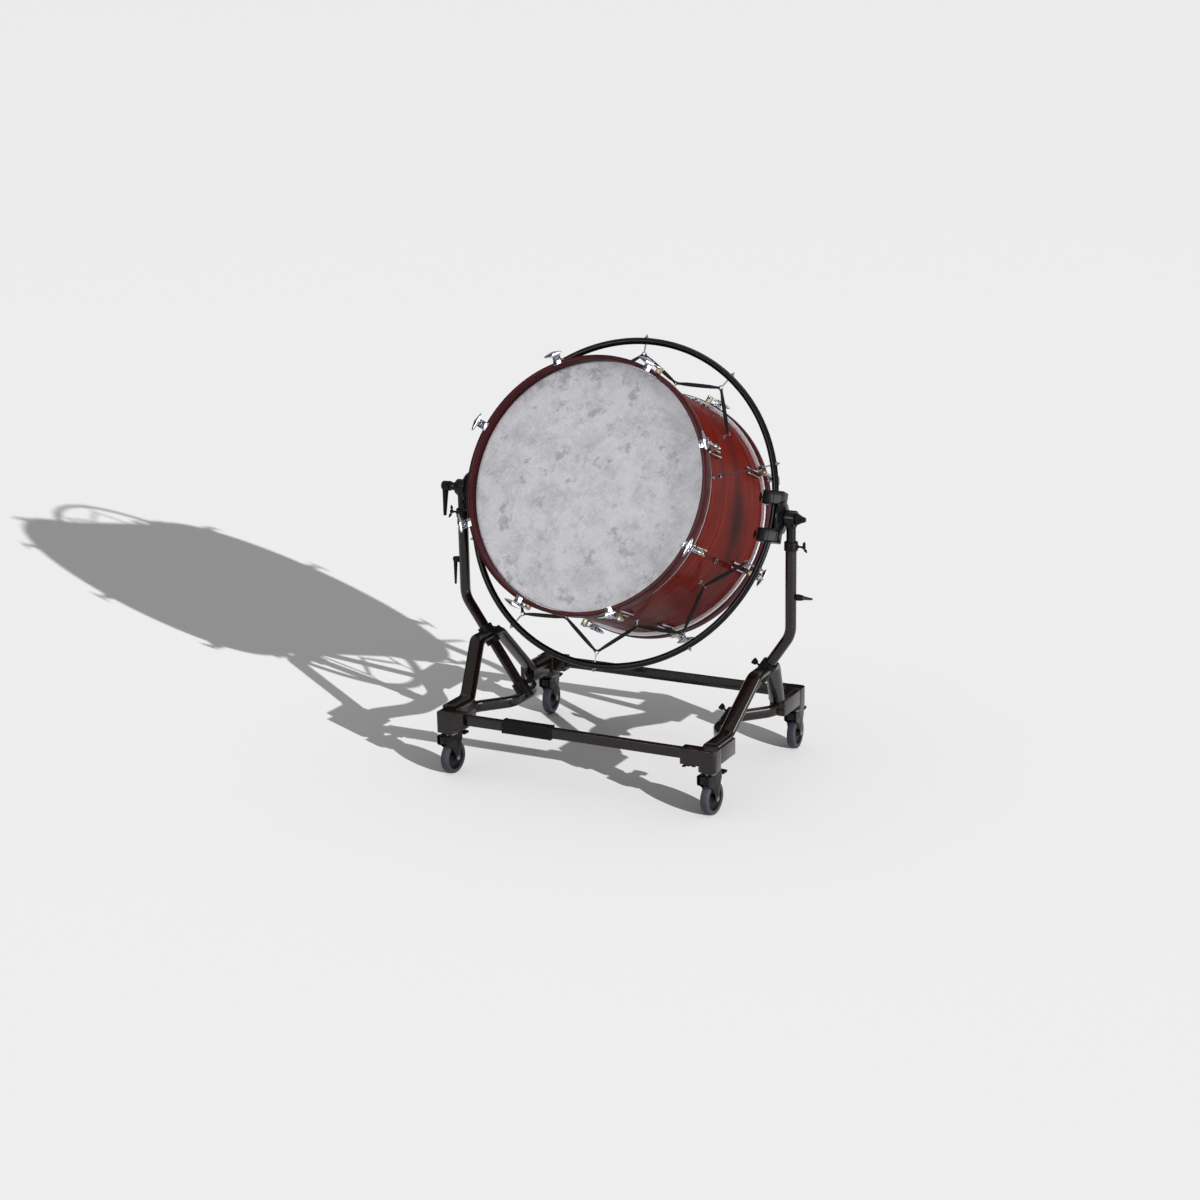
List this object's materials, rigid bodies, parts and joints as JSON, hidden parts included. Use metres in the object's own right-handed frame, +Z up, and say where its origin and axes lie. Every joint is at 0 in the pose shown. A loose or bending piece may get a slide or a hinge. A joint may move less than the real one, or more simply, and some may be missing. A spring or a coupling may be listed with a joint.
{
  "type": "concert bass drum on a tilting stand",
  "caption": "Large double-headed drum hung by elastic straps in a round tube, tilting on height-adjustable posts over a castored base.",
  "frame": {"origin": "on the floor, midway between the four castors, under the trunnion axis", "axes": "+X along the trunnion axis, to the right when the front head is looked at, +Y from the front head to the rear, +Z up"},
  "size_m": [1.5105, 1.011, 1.5962],
  "materials": {
    "stained_mahogany": "gloss lacquer",
    "dark_stained_hoop": "satin lacquer",
    "drum_head": "mottled film",
    "chromed_steel": "polished",
    "flesh_hoop_aluminium": "satin",
    "hammered_enamel": "dark bronze enamel",
    "black_enamel": "semi-gloss enamel",
    "black_plastic": "moulded",
    "grommet_plastic": "moulded",
    "elastic_webbing": "woven",
    "grey_tyre": "satin rubber"
  },
  "bodies": {
    "base": {"side_frame_left": "hammered_enamel", "side_frame_right": "hammered_enamel", "upright_left": "hammered_enamel", "upright_right": "hammered_enamel", "crossbar_front": "hammered_enamel", "crossbar_rear": "hammered_enamel", "crossbar_sleeve": "black_plastic"},
    "post_left": {"trunnion_post_left": "black_enamel"},
    "post_right": {"trunnion_post_right": "black_enamel"},
    "drum": {"shell": "stained_mahogany", "vent_grommet": "grommet_plastic", "head_front": "drum_head", "head_rear": "drum_head", "hoop_front": "dark_stained_hoop", "hoop_rear": "dark_stained_hoop", "tension_unit_front_1": "chromed_steel", "tension_unit_front_2": "chromed_steel", "tension_unit_front_3": "chromed_steel", "tension_unit_front_4": "chromed_steel", "tension_unit_front_5": "chromed_steel", "tension_unit_front_6": "chromed_steel", "tension_unit_front_7": "chromed_steel", "tension_unit_front_8": "chromed_steel", "tension_unit_rear_1": "chromed_steel", "tension_unit_rear_2": "chromed_steel", "tension_unit_rear_3": "chromed_steel", "tension_unit_rear_4": "chromed_steel", "tension_unit_rear_5": "chromed_steel", "tension_unit_rear_6": "chromed_steel", "tension_unit_rear_7": "chromed_steel", "tension_unit_rear_8": "chromed_steel", "suspension_ring": "black_enamel", "strap_run_upper": "elastic_webbing", "strap_run_lower": "elastic_webbing", "stay_strap_left": "elastic_webbing", "stay_strap_right": "elastic_webbing", "ring_clamp_left": "black_enamel", "ring_clamp_right": "black_enamel"},
    "tilt_lever": {"tilt_lever": "black_plastic"},
    "collar_screw_left": {"collar_screw_left": "black_plastic"},
    "collar_screw_right": {"collar_screw_right": "black_plastic"},
    "clamp_lever_left": {"clamp_lever_left": "black_plastic"},
    "clamp_lever_right": {"clamp_lever_right": "black_plastic"},
    "socket_knob_left": {"socket_knob_left": "black_plastic"},
    "socket_knob_right": {"socket_knob_right": "black_plastic"},
    "foot_knob_left": {"foot_knob_left": "black_plastic"},
    "foot_knob_right": {"foot_knob_right": "black_plastic"},
    "bar_screw": {"bar_screw": "black_plastic"},
    "fork_front_left": {"castor_fork_front_left": "black_enamel"},
    "fork_front_right": {"castor_fork_front_right": "black_enamel"},
    "fork_rear_left": {"castor_fork_rear_left": "black_enamel"},
    "fork_rear_right": {"castor_fork_rear_right": "black_enamel"},
    "wheel_front_left": {"castor_wheel_front_left": "grey_tyre"},
    "wheel_front_right": {"castor_wheel_front_right": "grey_tyre"},
    "wheel_rear_left": {"castor_wheel_rear_left": "grey_tyre"},
    "wheel_rear_right": {"castor_wheel_rear_right": "grey_tyre"},
    "brake_front_left": {"castor_brake_front_left": "black_plastic"},
    "brake_front_right": {"castor_brake_front_right": "black_plastic"},
    "brake_rear_left": {"castor_brake_rear_left": "black_plastic"},
    "brake_rear_right": {"castor_brake_rear_right": "black_plastic"}
  },
  "joints": [
    {"name": "height_left", "type": "slide", "parent": "base", "child": "post_left", "axis": [0, 0, 1], "range_m": [0, 0.15]},
    {"name": "height_right", "type": "slide", "parent": "base", "child": "post_right", "axis": [0, 0, 1], "range_m": [0, 0.15]},
    {"name": "drum_tilt", "type": "hinge", "parent": "post_left", "child": "drum", "pos_m": [-0.678, 0, 1.009], "axis": [1, 0, 0], "range_deg": [-67.5, 112.5]},
    {"name": "tilt_lever_turn", "type": "hinge", "parent": "post_left", "child": "tilt_lever", "pos_m": [-0.72, 0, 1.009], "axis": [1, 0, 0], "range_deg": [-90, 90]},
    {"name": "collar_screw_left_turn", "type": "hinge", "parent": "base", "child": "collar_screw_left", "pos_m": [-0.6953, 0, 0.909], "axis": [1, 0, 0], "continuous": true},
    {"name": "collar_screw_right_turn", "type": "hinge", "parent": "base", "child": "collar_screw_right", "pos_m": [0.6953, 0, 0.909], "axis": [1, 0, 0], "continuous": true},
    {"name": "clamp_lever_left_turn", "type": "hinge", "parent": "base", "child": "clamp_lever_left", "pos_m": [-0.6953, 0, 0.722], "axis": [1, 0, 0], "range_deg": [-90, 90]},
    {"name": "clamp_lever_right_turn", "type": "hinge", "parent": "base", "child": "clamp_lever_right", "pos_m": [0.6953, 0, 0.722], "axis": [1, 0, 0], "range_deg": [-90, 90]},
    {"name": "socket_knob_left_turn", "type": "hinge", "parent": "base", "child": "socket_knob_left", "pos_m": [-0.56126, 0, 0.44576], "axis": [0.8245, 0, 0.5658], "continuous": true},
    {"name": "socket_knob_right_turn", "type": "hinge", "parent": "base", "child": "socket_knob_right", "pos_m": [0.56126, 0, 0.44576], "axis": [-0.8245, 0, 0.5658], "continuous": true},
    {"name": "foot_knob_left_turn", "type": "hinge", "parent": "base", "child": "foot_knob_left", "pos_m": [-0.42952, 0, 0.25378], "axis": [0.8245, 0, 0.5658], "continuous": true},
    {"name": "foot_knob_right_turn", "type": "hinge", "parent": "base", "child": "foot_knob_right", "pos_m": [0.42952, 0, 0.25378], "axis": [-0.8245, 0, 0.5658], "continuous": true},
    {"name": "bar_screw_turn", "type": "hinge", "parent": "base", "child": "bar_screw", "pos_m": [0.455, -0.399, 0.2052], "axis": [0, 0, 1], "continuous": true},
    {"name": "swivel_front_left", "type": "hinge", "parent": "base", "child": "fork_front_left", "pos_m": [-0.533, -0.392, 0.16], "axis": [0, 0, 1], "continuous": true},
    {"name": "swivel_front_right", "type": "hinge", "parent": "base", "child": "fork_front_right", "pos_m": [0.533, -0.392, 0.16], "axis": [0, 0, 1], "continuous": true},
    {"name": "swivel_rear_left", "type": "hinge", "parent": "base", "child": "fork_rear_left", "pos_m": [-0.533, 0.392, 0.16], "axis": [0, 0, 1], "continuous": true},
    {"name": "swivel_rear_right", "type": "hinge", "parent": "base", "child": "fork_rear_right", "pos_m": [0.533, 0.392, 0.16], "axis": [0, 0, 1], "continuous": true},
    {"name": "roll_front_left", "type": "hinge", "parent": "fork_front_left", "child": "wheel_front_left", "pos_m": [-0.53178, -0.37805, 0.0625], "axis": [0.9962, -0.0872, 0], "continuous": true},
    {"name": "roll_front_right", "type": "hinge", "parent": "fork_front_right", "child": "wheel_front_right", "pos_m": [0.53422, -0.37805, 0.0625], "axis": [0.9962, -0.0872, 0], "continuous": true},
    {"name": "roll_rear_left", "type": "hinge", "parent": "fork_rear_left", "child": "wheel_rear_left", "pos_m": [-0.53422, 0.40595, 0.0625], "axis": [0.9962, 0.0872, 0], "continuous": true},
    {"name": "roll_rear_right", "type": "hinge", "parent": "fork_rear_right", "child": "wheel_rear_right", "pos_m": [0.53202, 0.40597, 0.0625], "axis": [0.9976, 0.0698, 0], "continuous": true},
    {"name": "brake_press_front_left", "type": "hinge", "parent": "fork_front_left", "child": "brake_front_left", "pos_m": [-0.52986, -0.35614, 0.141], "axis": [0.9962, -0.0872, 0], "range_deg": [-12, 0]},
    {"name": "brake_press_front_right", "type": "hinge", "parent": "fork_front_right", "child": "brake_front_right", "pos_m": [0.53614, -0.35614, 0.141], "axis": [0.9962, -0.0872, 0], "range_deg": [-12, 0]},
    {"name": "brake_press_rear_left", "type": "hinge", "parent": "fork_rear_left", "child": "brake_rear_left", "pos_m": [-0.53614, 0.42786, 0.141], "axis": [0.9962, 0.0872, 0], "range_deg": [-12, 0]},
    {"name": "brake_press_rear_right", "type": "hinge", "parent": "fork_rear_right", "child": "brake_rear_right", "pos_m": [0.53049, 0.42791, 0.141], "axis": [0.9976, 0.0698, 0], "range_deg": [-12, 0]}
  ],
  "couplings": [
    {"joint": "height_right", "follows": "height_left", "ratio": 1}
  ]
}
